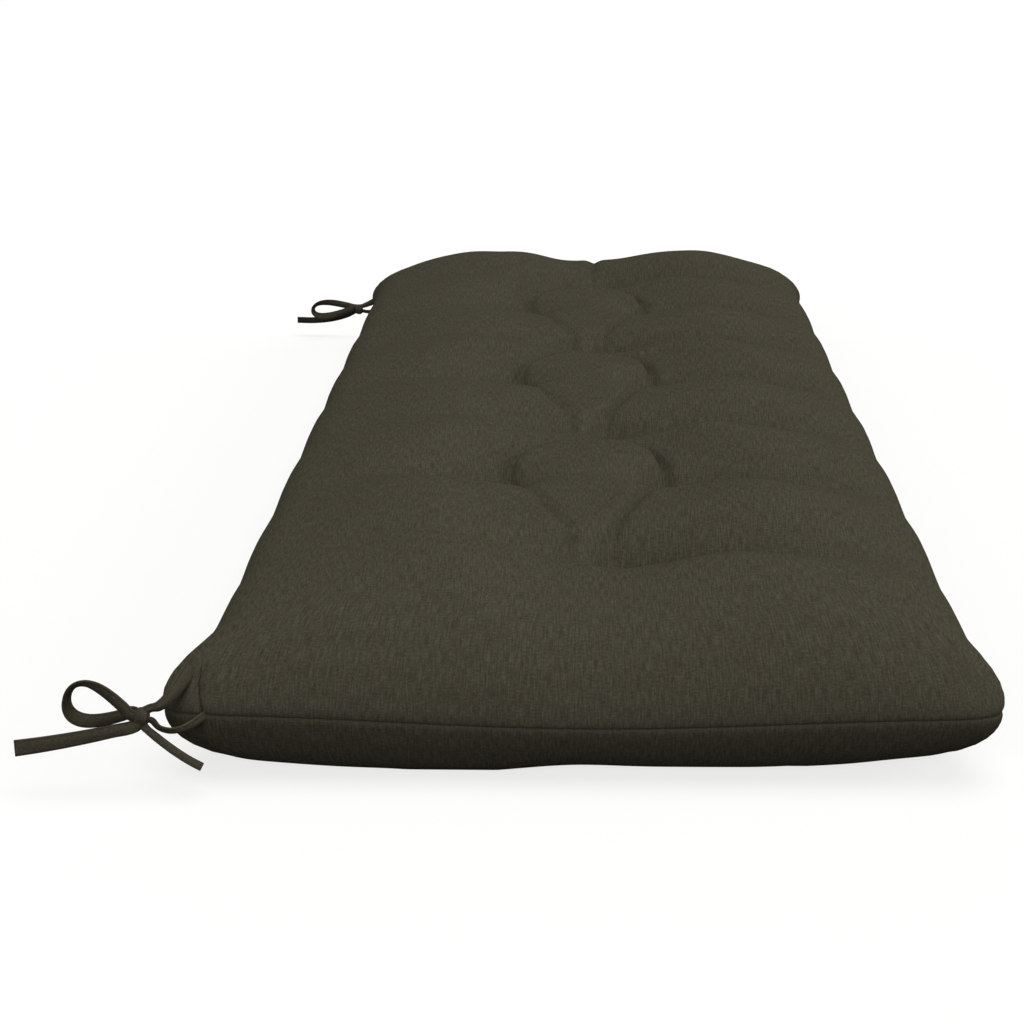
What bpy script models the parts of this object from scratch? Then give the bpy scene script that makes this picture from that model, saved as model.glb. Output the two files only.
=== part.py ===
"""Tufted bench cushion with two pairs of ribbon ties at the corners of its back edge.

Metres, +Z up. The cushion lies flat: its long axis is Y, its back edge with the ties is at -X, and the
origin is on the floor under its middle. Two cloth panels meet in one seam round the rim, with boxed corners,
and ten tufts in seven rows pull them together, so each face is a field of pillows between creases.
"""

import math

import bmesh
import bpy
import numpy as np

# Cushion: driving sizes. The width is that of the seam across the corners.
LENGTH = 1.20
WIDTH = 0.51
SEAM_HEIGHT = 0.046
SEAM_SAG = 0.004

# Each face leaves the seam in a tight roll, swelling out past it, and goes on in a wide dome.
ROLL_WIDTH = 0.034
DOME_WIDTH = 0.150
SWELL = 0.0045
TOP_ROLL, TOP_DOME = 0.041, 0.044
BOTTOM_ROLL, BOTTOM_DOME = 0.038, 0.020

# Rim: corners of a superellipse, lower than the sides; the sides drawn in between them, most at the middle.
CORNER_POWER = 9.5
CORNER_LOW, CORNER_REACH = 0.27, 0.050
SIDE_DRAW_IN, END_DRAW_IN = 0.0155, 0.003
DRAW_IN_REACH = 0.067
SCALLOP = 0.0035
EAR_REACH = 0.046
EARS = {(-1, -1): 0.0135, (1, -1): 0.003, (-1, 1): 0.002, (1, 1): 0.0}

# Tufts: rows an eighth of the length apart, by turns one in the middle and two beside it.
ROWS = 7
ROW_PITCH = LENGTH / (ROWS + 1)
TUFT_OFFSET = 0.060
SINGLE_DEPTH, SINGLE_WIDTH = 0.46, 0.100
DOUBLE_DEPTH, DOUBLE_WIDTH = 0.38, 0.068

# Creases between tufts, from tuft to side and from the end tufts to the ends: the share of the height that they
# take away and how far they spread.
LINK_DEPTH, LINK_WIDTH = 0.24, 0.028
SIDE_DEPTH, SIDE_WIDTH = 0.16, 0.055
END_DEPTH, END_WIDTH = 0.10, 0.055
RIM_DEPTH = 0.05
BLEND_POWER = 8.0

# Grid of the two faces: cells in the roll, from there to the outermost tufts, and between those.
ROLL_CELLS = 5
OUTER_COLUMNS, INNER_COLUMNS = 8, 6
OUTER_ROWS, INNER_ROWS = 8, 60

# Ribbon ties: bands of the cover's own cloth, sewn into the boxed corners and tied in a bow with one loop.
RIBBON_WIDTH = 0.010
RIBBON_THICKNESS = 0.0015
KNOT_SIZE = (0.0045, 0.0050, 0.0055)

# Knot and loop in millimetres: where the knot is, the loop's length and height, and how far it tilts up.
# Columns: name, x, y, z, loop length, loop height, tilt in degrees, side of the far strand
BOWS = (
    ("tie_near", -261.6, -608.5, 49.5, 40.0, 25.0, 15.0, 1),
    ("tie_far", -264.1, 603.5, 33.5, 49.0, 15.0, -3.0, -1),
)

# Other strands: start, middle and end in millimetres, turn of the band about its path at both ends in degrees
# (0 shows its face to the ends of the cushion, 90 lays it flat), and its width at both ends as a share of the whole.
# Columns: name, start, middle, end, turn at start, turn at end, width at start, width at end
STRANDS = (
    ("tie_near_leg_upper", (-233.1, -588.3, 76.0), (-247.1, -606.5, 58.0), (-255.4, -608.5, 54.8), 10, 0, 0.9, 0.55),
    ("tie_near_leg_lower", (-227.6, -599.6, 43.5), (-243.1, -609.0, 40.5), (-256.5, -609.0, 47.6), 20, 75, 0.7, 0.5),
    ("tie_near_long_end", (-264.6, -612.8, 45.4), (-300.6, -617.0, 38.6), (-338.1, -614.0, 30.8), 0, 0, 0.75, 1.0),
    ("tie_near_short_end", (-259.0, -611.2, 44.2), (-241.6, -614.4, 30.6), (-225.6, -615.0, 20.5), 55, 60, 0.6, 0.8),
    ("tie_far_leg_upper", (-233.6, 596.2, 52.0), (-247.6, 603.0, 42.0), (-259.9, 603.5, 37.0), 0, 0, 0.9, 0.5),
    ("tie_far_leg_lower", (-231.6, 596.6, 38.5), (-245.6, 606.0, 30.0), (-259.4, 604.0, 31.0), 20, 60, 0.7, 0.5),
    ("tie_far_end", (-266.8, 608.0, 30.4), (-298.6, 612.5, 19.5), (-338.6, 611.0, 18.8), 0, 35, 0.5, 1.0),
)
STRAND_STEPS = 14
LOOP_STEPS = 30

COLOURS = {
    "cushion_cloth": ((0.052, 0.048, 0.034), 0.95),
    "ribbon": ((0.045, 0.041, 0.031), 0.9),
}


def clear_scene():
    """Remove every object of the scene."""
    for old in list(bpy.data.objects):
        bpy.data.objects.remove(old, do_unlink=True)


def material(name):
    """The named cloth as a Principled material."""
    colour, roughness = COLOURS[name]
    made = bpy.data.materials.get(name) or bpy.data.materials.new(name)
    made.use_nodes = True
    shader = made.node_tree.nodes["Principled BSDF"]
    shader.inputs["Base Color"].default_value = (*colour, 1.0)
    shader.inputs["Roughness"].default_value = roughness
    shader.inputs["Metallic"].default_value = 0.0
    return made


def row_y(row):
    """Y of tuft row 1 to ROWS, counted from the near end."""
    return -LENGTH / 2 + row * ROW_PITCH


def tufts_of(row):
    """X of the tufts in a row: one in odd rows, two in even rows."""
    return (0.0,) if row % 2 else (-TUFT_OFFSET, TUFT_OFFSET)


def creases():
    """Every crease as (start, end, depth at start, depth at end, spread at start, spread at end)."""
    found = []
    for row in range(1, ROWS + 1):
        y, xs = row_y(row), tufts_of(row)
        for x, side in ((xs[0], -1), (xs[-1], 1)):
            found.append(((x, y), (side * WIDTH / 2, y), SIDE_DEPTH, RIM_DEPTH, LINK_WIDTH, SIDE_WIDTH))
        if len(xs) == 2:
            found.append(((xs[0], y), (xs[1], y), LINK_DEPTH, LINK_DEPTH, LINK_WIDTH, LINK_WIDTH))
        if row < ROWS:
            for x in xs:
                for other in tufts_of(row + 1):
                    across = ((x, y), (other, row_y(row + 1)), LINK_DEPTH, LINK_DEPTH, LINK_WIDTH, LINK_WIDTH)
                    found.append(across)
    for row, end in ((1, -1), (ROWS, 1)):
        found.append(((0.0, row_y(row)), (0.0, end * LENGTH / 2), END_DEPTH, RIM_DEPTH, END_WIDTH, END_WIDTH))
    return found


def dip(away, spread):
    """Profile of a crease or tuft: 1 in a sharp fold at its middle, falling to 0 at the given spread."""
    return np.clip(1.0 - away / spread, 0.0, 1.0) ** 2


def left_standing(x, y):
    """Share of the height that the creases and tufts leave at (x, y), from 1 down to about 0.4."""
    folded = np.zeros_like(x)
    for (ax, ay), (bx, by), start, end, narrow, wide in creases():
        long = (bx - ax) ** 2 + (by - ay) ** 2
        along = np.clip(((x - ax) * (bx - ax) + (y - ay) * (by - ay)) / long, 0.0, 1.0)
        away = np.hypot(x - ax - along * (bx - ax), y - ay - along * (by - ay))
        depth = start + (end - start) * along
        folded += (depth * dip(away, narrow + (wide - narrow) * along)) ** BLEND_POWER
    tufted = np.zeros_like(x)
    for row in range(1, ROWS + 1):
        depth, spread = (SINGLE_DEPTH, SINGLE_WIDTH) if row % 2 else (DOUBLE_DEPTH, DOUBLE_WIDTH)
        for x0 in tufts_of(row):
            tufted += (depth * dip(np.hypot(x - x0, y - row_y(row)), spread)) ** BLEND_POWER
    return (1.0 - folded ** (1.0 / BLEND_POWER)) * (1.0 - tufted ** (1.0 / BLEND_POWER))


def stations(half, tuft, outer, inner):
    """Grid lines from -half to half, the same on both sides, with lines on the outermost tufts."""
    steps = ROLL_WIDTH * (1.0 - np.cos(np.linspace(0.0, math.pi / 2, ROLL_CELLS + 1)))
    right = np.concatenate([np.linspace(tuft, half - ROLL_WIDTH, outer + 1)[1:], (half - steps[:-1])[::-1]])
    return np.concatenate([-right[::-1], np.linspace(-tuft, tuft, inner + 1), right])


def smooth(t):
    """Smooth step from 0 to 1."""
    t = np.clip(t, 0.0, 1.0)
    return t * t * (3.0 - 2.0 * t)


def plan(u, v):
    """Plan position of grid point (u, v) with rounded corners, its distance in from the rim and the way out."""
    half_x, half_y = WIDTH / 2, LENGTH / 2
    qx = np.clip((np.abs(u) - half_x + DOME_WIDTH) / DOME_WIDTH, 0.0, 1.0)
    qy = np.clip((np.abs(v) - half_y + DOME_WIDTH) / DOME_WIDTH, 0.0, 1.0)
    level = np.maximum(qx, qy)
    radius = (qx**CORNER_POWER + qy**CORNER_POWER) ** (1.0 / CORNER_POWER)
    squeeze = np.where(radius > 0, level / np.maximum(radius, 1e-9), 1.0)
    x = np.where(qx > 0, np.sign(u) * (half_x - DOME_WIDTH * (1.0 - qx * squeeze)), u)
    y = np.where(qy > 0, np.sign(v) * (half_y - DOME_WIDTH * (1.0 - qy * squeeze)), v)
    out_x = np.sign(u) * qx ** (CORNER_POWER - 1)
    out_y = np.sign(v) * qy ** (CORNER_POWER - 1)
    size = np.maximum(np.hypot(out_x, out_y), 1e-9)
    return x, y, DOME_WIDTH * (1.0 - level), out_x / size, out_y / size


def draw_in(x, y):
    """The rim pulled in along its sides between the corners, scalloped at the rows of tufts, with its ears."""
    half_x, half_y = WIDTH / 2, LENGTH / 2
    scallops = 0.5 + 0.5 * np.cos(2.0 * math.pi * y / ROW_PITCH)
    scallops *= smooth((half_y - 0.6 * ROW_PITCH - np.abs(y)) / (0.4 * ROW_PITCH))
    side = smooth((half_y - np.abs(y)) / DRAW_IN_REACH) * (SIDE_DRAW_IN + SCALLOP * scallops)
    end = smooth((half_x - np.abs(x)) / DRAW_IN_REACH) * END_DRAW_IN
    new_x, new_y = x * (1.0 - side / half_x), y * (1.0 - end / half_y)
    for (side_x, side_y), size in EARS.items():
        away = np.hypot(x - side_x * half_x, y - side_y * half_y)
        new_x = new_x + side_x * size * np.exp(-((away / EAR_REACH) ** 2))
    return new_x, new_y


def rolled(inset):
    """Height of the quarter-round roll, from 0 at the rim to 1, and its swelling past the rim."""
    left = 1.0 - np.clip(inset / ROLL_WIDTH, 0.0, 1.0)
    height = np.sqrt(1.0 - left**2)
    return height, SWELL * 2.0 * height * left


def domed(x, y):
    """Height of the wide dome, from 0 at the rim to 1."""
    in_x = np.clip((WIDTH / 2 - np.abs(x)) / DOME_WIDTH, 0.0, 1.0)
    in_y = np.clip((LENGTH / 2 - np.abs(y)) / DOME_WIDTH, 0.0, 1.0)
    return np.sin(in_x * math.pi / 2) * np.sin(in_y * math.pi / 2)


def cushion_mesh():
    """The filled cushion as one closed mesh: two grids of points that share the rim."""
    us = stations(WIDTH / 2, TUFT_OFFSET, OUTER_COLUMNS, INNER_COLUMNS)
    vs = stations(LENGTH / 2, row_y(ROWS), OUTER_ROWS, INNER_ROWS)
    u, v = np.meshgrid(us, vs, indexing="ij")
    x, y, inset, out_x, out_y = plan(u, v)
    left = left_standing(x, y)
    roll, swell = rolled(inset)
    dome = domed(x, y)
    from_corner = np.hypot(WIDTH / 2 - np.abs(x), LENGTH / 2 - np.abs(y))
    roll = roll * (1.0 - CORNER_LOW * np.exp(-((from_corner / CORNER_REACH) ** 2)))
    seam = SEAM_HEIGHT - SEAM_SAG * np.cos(np.clip(2.0 * x / WIDTH, -1, 1) * math.pi / 2)
    top = seam + left * (TOP_ROLL * roll + TOP_DOME * dome)
    bottom = np.maximum(seam - left * (BOTTOM_ROLL * roll + BOTTOM_DOME * dome), 0.0)
    x, y = draw_in(x + swell * out_x, y + swell * out_y)
    x -= (x.max() + x.min()) / 2.0
    y -= (y.max() + y.min()) / 2.0
    columns, rows = u.shape
    index = np.arange(columns * rows).reshape(columns, rows)
    rim = np.zeros((columns, rows), bool)
    rim[[0, -1], :] = rim[:, [0, -1]] = True
    under = np.where(rim, index, index + columns * rows)
    points = np.concatenate([np.stack([x, y, z], axis=-1).reshape(-1, 3) for z in (top, bottom)])
    quads = np.stack([index[:-1, :-1], index[1:, :-1], index[1:, 1:], index[:-1, 1:]], axis=-1).reshape(-1, 4)
    below = np.stack([under[:-1, :-1], under[:-1, 1:], under[1:, 1:], under[1:, :-1]], axis=-1).reshape(-1, 4)
    faces = np.concatenate([quads, below])
    used, compact = np.unique(faces, return_inverse=True)
    mesh = bpy.data.meshes.new("cushion")
    mesh.from_pydata(points[used].tolist(), [], compact.reshape(-1, 4).tolist())
    return mesh


def link(name, mesh, cloth):
    """Put a mesh in the scene as a smooth-shaded object of the named cloth."""
    made = bpy.data.objects.new(name, mesh)
    bpy.context.scene.collection.objects.link(made)
    mesh.materials.append(material(cloth))
    mesh.shade_smooth()
    return made


def ribbon(name, path, turns, widths):
    """A flat band along a path: rectangular sections, the width turned about the path by the given angles."""
    path = np.asarray(path)
    tangents = np.gradient(path, axis=0)
    tangents /= np.linalg.norm(tangents, axis=1, keepdims=True)
    upright = np.cross(tangents, (0.0, 1.0, 0.0))
    upright /= np.linalg.norm(upright, axis=1, keepdims=True)
    sideways = np.cross(upright, tangents)
    turns = np.radians(turns)[:, None]
    wide = (np.cos(turns) * upright + np.sin(turns) * sideways) * np.asarray(widths)[:, None] * RIBBON_WIDTH / 2
    thick = np.cross(tangents, wide / np.linalg.norm(wide, axis=1, keepdims=True)) * RIBBON_THICKNESS / 2
    ring = np.stack([path - wide - thick, path + wide - thick, path + wide + thick, path - wide + thick], axis=1)
    count = len(path)
    faces = [(3, 2, 1, 0), tuple(4 * (count - 1) + corner for corner in range(4))]
    for step in range(count - 1):
        for corner in range(4):
            after = (corner + 1) % 4
            start = 4 * step
            faces.append((start + corner, start + after, start + 4 + after, start + 4 + corner))
    mesh = bpy.data.meshes.new(name)
    mesh.from_pydata(ring.reshape(-1, 3).tolist(), [], faces)
    make = bmesh.new()
    make.from_mesh(mesh)
    bmesh.ops.recalc_face_normals(make, faces=make.faces[:])
    make.to_mesh(mesh)
    make.free()
    return link(name, mesh, "ribbon")


def through(points, t):
    """The parabola through three points at t = 0, 0.5 and 1."""
    start, middle, end = (np.asarray(point) / 1000.0 for point in points)
    t = t[:, None]
    return start * (1 - t) * (1 - 2 * t) + middle * 4 * t * (1 - t) + end * t * (2 * t - 1)


def build_strands():
    """The legs and free ends of both ties."""
    t = np.linspace(0.0, 1.0, STRAND_STEPS + 1)
    for name, start, middle, end, turn_0, turn_1, wide_0, wide_1 in STRANDS:
        ribbon(name, through((start, middle, end), t), turn_0 + (turn_1 - turn_0) * t, wide_0 + (wide_1 - wide_0) * t)


def build_bows():
    """The knot and the loop of each tie."""
    for name, x, y, z, length, height, tilt, side in BOWS:
        knot = np.array([x, y, z]) / 1000.0
        t = np.linspace(0.0, 1.0, LOOP_STEPS + 1)
        out = length / 1000.0 * np.sin(math.pi * t)
        across = height / 2000.0 * np.sin(2.0 * math.pi * t)
        lean = math.radians(tilt)
        path = np.empty((len(t), 3))
        path[:, 0] = knot[0] - KNOT_SIZE[0] - 0.0010 - out * math.cos(lean) + across * math.sin(lean)
        path[:, 1] = knot[1] - side * 0.0026 * np.cos(math.pi * t)
        path[:, 2] = knot[2] + 0.0015 + out * math.sin(lean) + across * math.cos(lean)
        bent = np.sin(math.pi * t) ** 2
        ribbon(name + "_loop", path, 75.0 * bent, 0.75 + 0.25 * bent)
        make = bmesh.new()
        bmesh.ops.create_icosphere(make, subdivisions=2, radius=1.0)
        for vert in make.verts:
            vert.co = [knot[axis] + KNOT_SIZE[axis] * vert.co[axis] for axis in range(3)]
        mesh = bpy.data.meshes.new(name + "_knot")
        make.to_mesh(mesh)
        make.free()
        link(name + "_knot", mesh, "ribbon")


def main():
    clear_scene()
    link("cushion", cushion_mesh(), "cushion_cloth")
    build_bows()
    build_strands()


main()
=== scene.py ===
"""Tufted bench cushion: the looks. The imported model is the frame, and each piece lies where its solid lies.

The cushion is one closed surface over a grid: two cloth panels that share the seam round the rim. The ties
are bands carried along routes close to those of their solids. Sizes are in metres unless a name or comment
says otherwise.
"""

import math

import bpy
import numpy as np
from mathutils import Matrix, Vector


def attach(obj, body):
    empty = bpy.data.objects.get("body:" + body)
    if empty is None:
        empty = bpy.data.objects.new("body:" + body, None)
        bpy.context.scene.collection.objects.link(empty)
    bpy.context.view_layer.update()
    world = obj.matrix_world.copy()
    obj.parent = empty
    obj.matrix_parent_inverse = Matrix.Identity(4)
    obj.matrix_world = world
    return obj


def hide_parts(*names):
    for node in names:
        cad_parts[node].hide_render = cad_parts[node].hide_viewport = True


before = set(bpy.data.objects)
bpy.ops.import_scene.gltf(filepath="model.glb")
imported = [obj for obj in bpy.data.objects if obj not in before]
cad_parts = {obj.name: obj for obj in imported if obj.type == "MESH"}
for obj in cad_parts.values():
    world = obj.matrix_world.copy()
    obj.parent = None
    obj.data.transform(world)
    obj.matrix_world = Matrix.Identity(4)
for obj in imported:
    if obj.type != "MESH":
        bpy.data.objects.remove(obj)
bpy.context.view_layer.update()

# The photograph's view: where its camera stands, how it is turned in degrees, and its lens on its frame.
CAMERA_PLACE = (0.0003, -1.678, 0.529)
CAMERA_DOWN, CAMERA_LEFT, CAMERA_ROLL = 18.13, 2.14, -0.5
FOCAL_LENGTH_MM, FRAME_MM = 69.24, 36.0

# Studio light: an even light from the room's lower and upper half, blended at the horizon between two shares
# of the room's height, and five wide far lights. The camera alone sees the room white.
LIGHT_FROM_BELOW, LIGHT_FROM_ABOVE = 0.11, 0.03
HORIZON_FROM, HORIZON_TO = 0.48, 0.52
ROOM_WHITE = "#FEFEFE"
LIGHT_DISTANCE = 3.0
SOFT_LIGHTS = (
    # name, degrees round from the right towards the back, degrees up, strength, degrees across
    ("ceiling", 0.0, 77.0, 2.20, 50.0),
    ("right box", 0.0, 18.0, 1.80, 40.0),
    ("left box", 180.0, 12.0, 0.70, 40.0),
    ("near left box", -112.0, 26.0, 1.42, 40.0),
    ("back box", 90.0, 20.0, 0.66, 40.0),
)

# Floor: plain paper just under the cushion, lit partly from below, so that the shadow on it stays faint.
FLOOR_HALF_SIZE, FLOOR_TOP = 12.0, -0.0004
PAPER_GREY, PAPER_GLOW = "#7E7E7D", "#FFFFFE"
PAPER_ROUGHNESS = 0.95
LIT_FROM_BELOW = 0.76

# Cushion: its width is that of the seam across the corners. The seam is level along the sides and sags
# towards the middle, and both faces with it. A sharper sag at each end fades inwards over its reach.
LENGTH, WIDTH = 1.20, 0.51
SEAM_HEIGHT, SEAM_SAG = 0.046, 0.004
END_SAG, END_SAG_REACH = 0.0045, 0.120

# The filling: a roll round the rim and a wide dome, by their widths, the dome's at the near and far end, and
# their heights on top and below.
ROLL_WIDTH, DOME_WIDTH = 0.040, 0.150
DOME_NEAR_END, DOME_FAR_END = 0.200, 0.135
TOP_ROLL, TOP_DOME = 0.041, 0.046
BOTTOM_ROLL, BOTTOM_DOME = 0.038, 0.020
# The roll at the long sides and at the ends: width, swell past the rim, and power (0.5 round, 1 a parabola).
TOP_ROLL_FORM = (0.034, 0.0045, 0.50), (0.055, 0.0010, 0.66)
BOTTOM_ROLL_FORM = (0.040, 0.0015, 0.52), (0.044, 0.0010, 0.62)
# The underside's filling at the ends: how much fuller it lies left and right of the middle, over what width.
FULLER_LEFT, FULLER_RIGHT, FULLER_WIDTH = 0.20, 0.03, 0.120
# The filling's unevenness: waves by size along x and y in radians per metre, start, share of the height.
UNEVEN = (
    (61.0, 23.0, 0.4, 0.006),
    (-38.0, 47.0, 1.9, 0.006),
    (17.0, -71.0, 3.1, 0.005),
    (83.0, 52.0, 5.2, 0.004),
    (29.0, 11.0, 2.6, 0.006),
    (-95.0, 31.0, 4.4, 0.003),
)

# The corners: the power of their superellipse, and how much lower the roll is there, over what reach. Their
# ears, by side along X and Y, are how far each sticks out along X.
CORNER_POWER = 9.5
TOP_CORNER_LOW, BOTTOM_CORNER_LOW, CORNER_REACH = 0.27, 0.08, 0.050
EARS = {(-1, -1): 0.0135, (1, -1): 0.003, (-1, 1): 0.002, (1, 1): 0.0}
EAR_REACH = 0.046
# The rim is drawn in between the corners and scalloped by the rows of tufts. The scallops begin one share of
# a row's pitch in from each end, and are whole after another.
SIDE_DRAW_IN, END_DRAW_IN, DRAW_IN_REACH = 0.0175, 0.003, 0.067
SCALLOP, SCALLOP_FROM, SCALLOP_OVER = 0.0014, 0.6, 0.4
# The seam round the rim: how far the stitching pulls the panels in, and over what height they swell back.
SEAM_PINCH, SEAM_PINCH_REACH = 0.0011, 0.0012

# The sewn dart that squares the near left corner, in the cloth's lengths: its place at the rim, how far it
# bends out by its end, its length, the groove that it pulls, deep and wide, and the shares of its length at
# which the groove begins to fade and over which it does.
DART_PLACE, DART_BEND, DART_LENGTH = -0.2255, -0.013, 0.038
DART_DEPTH, DART_SPREAD = 0.0016, 0.0022
DART_FADE_FROM, DART_FADE_OVER = 0.7, 0.3

# Tufts: rows an eighth of the length apart, by turns one in the middle and two beside it. Their depths are
# shares of the height, as are those of all that is dug into it.
ROWS = 7
ROW_PITCH = LENGTH / (ROWS + 1)
TUFT_OFFSET, PLEAT_HALF = 0.060, 0.011
SINGLE_DEPTH, SINGLE_WIDTH = 0.05, 0.045
DOUBLE_DEPTH, DOUBLE_WIDTH = 0.075, 0.028

# The tufts hold the dome lower: by which share towards the near and the far end, from how far in from each
# end, and over what length.
HELD_NEAR, HELD_FAR, HELD_FROM, HELD_REACH = 0.10, 0.36, 0.065, 0.100
# The zigzag of tufts lies in a trough, which is shallower past the end rows. Its cells open from one tuft to
# two and close from two to one: how they bow, by what share of its gap a closing one is closed, and over
# what share its crown then goes.
TROUGH_DEPTH, TROUGH_WIDTH = 0.23, 0.105
TROUGH_END_DEPTH, TROUGH_END_WIDTH = 0.05, 0.075
OPENING_BOW, CLOSING_BOW, CLOSED_BY, CLOSED_REACH = 1.2, 2.8, 0.58, 0.12
# The cells' crowns: their shares of the trough's depth, and how far along its gap a closing one has its own.
# Then how far in from the zigzag they are whole, and how far from its tufts an opening one is whole across.
OPENING_CROWN, CLOSING_CROWN, CROWN_RISE = 0.30, 0.40, 0.050
OPENING_REACH, CLOSING_REACH, EDGE_RISE = 0.013, 0.008, 0.035

# Sharp folds along the zigzag, gap by gap from the near end. In a closing gap they lie further out, and the
# right one's share of its depth grows.
FOLD_WIDTH, FOLD_OUT = 0.010, 0.004
FOLD_DEPTH_LEFT = (0.06, 0.07, 0.06, 0.08, 0.06, 0.06)
FOLD_DEPTH_RIGHT = (0.09, 0.13, 0.09, 0.12, 0.08, 0.11)
RIGHT_FOLD_SHARE, RIGHT_FOLD_GROWS = 0.7, 0.6

# Valleys between the pillows, from the tufts to the long sides: the depth beside each row's tuft, left and
# right. Then their spread at the tuft and at the rim and their depth at the rim, how far from the middle a
# single tuft's valley starts, and the power by which they hold their depth.
VALLEY_DEPTH_LEFT = (0.09, 0.21, 0.12, 0.22, 0.14, 0.22, 0.12)
VALLEY_DEPTH_RIGHT = (0.48, 0.46, 0.50, 0.51, 0.53, 0.53, 0.49)
VALLEY_NARROW, VALLEY_WIDE, VALLEY_RIM_DEPTH = 0.050, 0.095, 0.03
VALLEY_START, VALLEY_HOLD = 0.030, 1.7
# The crease in each valley, by side, the link between two tufts or the pleat of one, and the short folds.
# Where dips meet, a power blends them, and each has a rounded bottom.
CREASE_DEPTHS, CREASE_WIDTH, CREASE_END = {-1: 0.03, 1: 0.07}, 0.024, 0.185
LINK_DEPTH, LINK_WIDTH = 0.03, 0.024
SHORT_FOLDS = (
    # start x, start y, end x, end y, depth at start, depth at end, width
    (0.004, 0.450, 0.013, 0.590, 0.10, 0.03, 0.012),
    (-0.070, -0.302, -0.058, -0.245, 0.05, 0.01, 0.010),
    (-0.074, -0.004, -0.060, 0.062, 0.07, 0.02, 0.010),
    (0.060, -0.300, 0.100, -0.292, 0.06, 0.01, 0.012),
    (0.011, -0.450, 0.075, -0.441, 0.06, 0.01, 0.012),
    (0.011, -0.150, 0.080, -0.143, 0.05, 0.01, 0.012),
    (0.060, 0.000, 0.105, 0.008, 0.05, 0.01, 0.012),
    (0.011, 0.150, 0.070, 0.156, 0.05, 0.01, 0.012),
)
BLEND_POWER, FOLD_RADIUS = 6.0, 0.0015

# The cushion's grid: arc lengths up the roll from the seam, finest at the seam. Then the cells across the
# tufts and beside them, the cells in a row's pitch and how they crowd at the tufts, and the added columns at
# the dart, by the cloth's length left of the middle.
ROLL_ARCS_MM = (0.0, 0.5, 1.1, 1.9, 3.0, 4.5, 6.5, 9.0, 12.5, 17.0, 22.5, 29.0, 36.5, 45.0, 54.0, 62.0)
ROLL_ARCS = np.array(ROLL_ARCS_MM) / 1000
FINE_COLUMNS, COARSE_COLUMNS, FINE_HALF_WIDTH = 64, 26, 0.100
ROWS_PER_PITCH, ROW_CROWDING, ROW_CLEAR_OF_ROLL = 34, 0.45, 0.001
DART_COLUMNS = np.arange(0.2222, 0.2400, 0.0017)
# Too small to show: it keeps a divisor from being zero.
TINY = 1e-9


def row_y(row):
    """Y of tuft row 1 to ROWS, counted from the near end."""
    return -LENGTH / 2 + row * ROW_PITCH


def tufts_of(row):
    """X of the tufts in a row: one in odd rows, two in even rows."""
    return (0.0,) if row % 2 else (-TUFT_OFFSET, TUFT_OFFSET)


def smooth(t):
    """Smooth step: 3t^2 - 2t^3 between 0 and 1."""
    t = np.clip(t, 0.0, 1.0)
    return t * t * (3.0 - 2.0 * t)


def valleys():
    """The broad valleys as (start, end, depth at start, depth at end, spread at start, spread at end)."""
    found = []
    for row in range(1, ROWS + 1):
        y, from_middle = row_y(row), VALLEY_START if row % 2 else TUFT_OFFSET
        for side, depth in ((-1, VALLEY_DEPTH_LEFT[row - 1]), (1, VALLEY_DEPTH_RIGHT[row - 1])):
            start, end = (side * from_middle, y), (side * WIDTH / 2, y)
            found.append((start, end, depth, VALLEY_RIM_DEPTH, VALLEY_NARROW, VALLEY_WIDE))
    return found


def folds():
    """The links, pleats, creases and short folds, in the same form as the valleys."""
    found = []
    for row in range(1, ROWS + 1):
        half = PLEAT_HALF if row % 2 else TUFT_OFFSET
        link = (-half, row_y(row)), (half, row_y(row))
        found.append((*link, LINK_DEPTH, LINK_DEPTH, LINK_WIDTH, LINK_WIDTH))
        for side, depth in CREASE_DEPTHS.items():
            start, end = (side * half, row_y(row)), (side * CREASE_END, row_y(row))
            found.append((start, end, depth, 0.0, CREASE_WIDTH, CREASE_WIDTH))
    for x0, y0, x1, y1, start, end, width in SHORT_FOLDS:
        found.append(((x0, y0), (x1, y1), start, end, width, width))
    return found


def dip(away, spread):
    """Profile of a crease or tuft: (1 - d/spread)^2, its sharp middle rounded over FOLD_RADIUS."""
    rounded = np.sqrt(away**2 + FOLD_RADIUS**2) - FOLD_RADIUS
    return np.clip(1.0 - rounded / spread, 0.0, 1.0) ** 2


def dug(lines, x, y, hold=1.0):
    """Share taken away by a set of lines: the p-norm of their dips.

    A line's depth goes from that of its start to that of its end with (share of the way)^hold.
    """
    total = np.zeros_like(x)
    for (ax, ay), (bx, by), start, end, narrow, wide in lines:
        long = (bx - ax) ** 2 + (by - ay) ** 2
        along = np.clip(((x - ax) * (bx - ax) + (y - ay) * (by - ay)) / long, 0.0, 1.0)
        away = np.hypot(x - ax - along * (bx - ax), y - ay - along * (by - ay))
        depth = start + (end - start) * along**hold
        total += (depth * dip(away, narrow + (wide - narrow) * along)) ** BLEND_POWER
    return total ** (1.0 / BLEND_POWER)


def zigzag(y):
    """At y: the zigzag's half-width, place in its gap from 0 to 1, opening or not, share past the last row.

    An opening gap bows from the single tuft out to the double ones, as t^bow. A closing one comes round to
    its end before the next row, as sqrt(1 - (t / closed)^bow).
    """
    last = row_y(ROWS)
    towards_end = smooth((np.abs(y) - last) / (LENGTH / 2 - last))
    gap = np.clip((y + last) / ROW_PITCH, 0.0, ROWS - 1.0)
    t = gap % 1.0
    opening = (gap // 1.0) % 2.0 == 0.0
    step = TUFT_OFFSET - PLEAT_HALF
    closing = np.sqrt(1.0 - np.clip(t / CLOSED_BY, 0.0, 1.0) ** CLOSING_BOW)
    half = PLEAT_HALF + step * np.where(opening, t**OPENING_BOW, closing)
    half = np.where(np.abs(y) < last, half, PLEAT_HALF * (1.0 - towards_end))
    return half, t, opening, towards_end


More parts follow.
